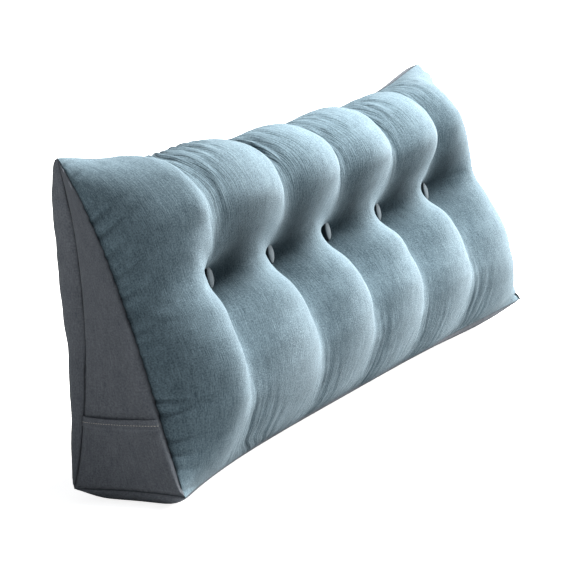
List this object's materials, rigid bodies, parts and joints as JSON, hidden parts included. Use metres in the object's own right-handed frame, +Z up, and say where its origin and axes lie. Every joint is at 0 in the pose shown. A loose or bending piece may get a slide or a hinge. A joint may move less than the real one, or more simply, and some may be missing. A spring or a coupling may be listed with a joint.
{
  "type": "backrest cushion",
  "caption": "Long wedge-shaped backrest cushion with a button-tufted, lobed front, drawn-in ends, a flat upright back and a patch pocket on one end.",
  "frame": {"origin": "on the floor under the middle of the whole cushion's length and depth", "axes": "+X along the cushion's length, away from the end with the pocket; +Y from the tufted front to the upright back; +Z up"},
  "size_m": [1.5, 0.295, 0.53],
  "materials": {
    "front_cloth": "slate-blue mottled linen weave, matt",
    "plain_cloth": "the same slate-blue weave on the plain panels, matt",
    "button_cloth": "covered buttons in the same cloth, slightly greyer"
  },
  "bodies": {
    "root": {"cushion_body": "front_cloth", "back_panel": "plain_cloth", "base_panel": "plain_cloth", "end_panel_left": "plain_cloth", "end_panel_right": "plain_cloth", "side_pocket": "plain_cloth", "button_1": "button_cloth", "button_2": "button_cloth", "button_3": "button_cloth", "button_4": "button_cloth", "button_5": "button_cloth"}
  },
  "joints": []
}
